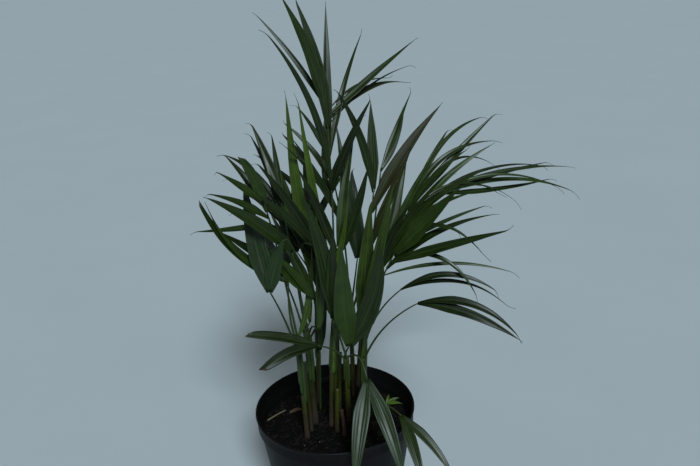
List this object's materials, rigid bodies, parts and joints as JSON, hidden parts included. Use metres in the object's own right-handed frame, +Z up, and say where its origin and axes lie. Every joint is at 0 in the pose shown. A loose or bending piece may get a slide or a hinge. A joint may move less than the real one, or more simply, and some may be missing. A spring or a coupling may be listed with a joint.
{
  "type": "potted palm",
  "caption": "Young clumping palm with arching divided leaves on slim canes, growing in a tapered round plastic nursery pot filled with potting mix.",
  "frame": {"origin": "centre of the pot's flat base, on the surface it stands on", "axes": "+Z up, along the pot's axis; -Y towards the side the plant is seen from; +X to the viewer's right, where the longest frond reaches"},
  "size_m": [0.5868, 0.3959, 0.8103],
  "materials": {
    "pot_plastic": "satin black moulded plastic",
    "mix": "moist dark bark-based potting mix",
    "cane": "smooth olive green sheathed stem, browner at the foot",
    "dead_sheath": "dry brown fibrous sheath",
    "leaf_green": "deep green satin leaf with parallel veins",
    "leaf_young": "yellow-green satin young leaf",
    "leaf_grey": "pleated grey-green leaf",
    "dead_stick": "dry pale stalk",
    "dead_leaf": "dry brown leaf scrap"
  },
  "bodies": {
    "root": {"pot": "pot_plastic", "potting_mix": "mix", "leaf_top_frond": "leaf_green", "leaf_upright_pair": "leaf_green", "leaf_bright_tall": "leaf_young", "leaf_left_upright": "leaf_green", "leaf_left_frond": "leaf_green", "leaf_broad_left": "leaf_green", "leaf_hooked_left": "leaf_green", "leaf_pleated_left": "leaf_grey", "leaf_pleated_behind": "leaf_grey", "leaf_crossing_frond": "leaf_green", "leaf_centre_fan": "leaf_green", "leaf_bright_blade": "leaf_young", "leaf_dark_fan": "leaf_grey", "leaf_bronze": "leaf_green", "leaf_forked": "leaf_green", "leaf_right_upper_frond": "leaf_green", "leaf_right_long_frond": "leaf_green", "leaf_low_right_frond": "leaf_green", "leaf_arched_pair": "leaf_green", "leaf_lower_pair": "leaf_green", "leaf_small_cut": "leaf_green", "leaf_seedling": "leaf_young", "leaf_spear_left": "leaf_young", "leaf_spear_short": "leaf_young", "leaf_spear_middle": "leaf_young", "leaf_hanging_large": "leaf_grey", "leaf_hanging_small": "leaf_green", "leaf_centre_left": "leaf_green", "leaf_left_inner": "leaf_green", "leaf_centre_upright": "leaf_green", "leaf_centre_right": "leaf_green", "leaf_right_middle": "leaf_green", "leaf_back_upright": "leaf_green", "leaf_left_back": "leaf_green", "leaf_front_centre": "leaf_green", "leaf_left_low": "leaf_green", "leaf_left_middle": "leaf_green", "weed_seedling": "leaf_young", "leaf_back_low": "leaf_green", "leaf_back_frond": "leaf_green", "cane_left_front": "cane", "cane_left": "cane", "cane_back_left": "cane", "cane_middle_back": "cane", "cane_middle": "cane", "cane_cut": "cane", "cane_front": "cane", "cane_back": "cane", "cane_back_right": "cane", "cane_right": "cane", "cane_right_front": "cane", "cane_thin_left": "cane", "cane_thin_middle": "cane", "cane_short": "cane", "dead_sheath": "dead_sheath", "fallen_stick": "dead_stick", "fallen_leaf": "dead_leaf"}
  },
  "joints": []
}
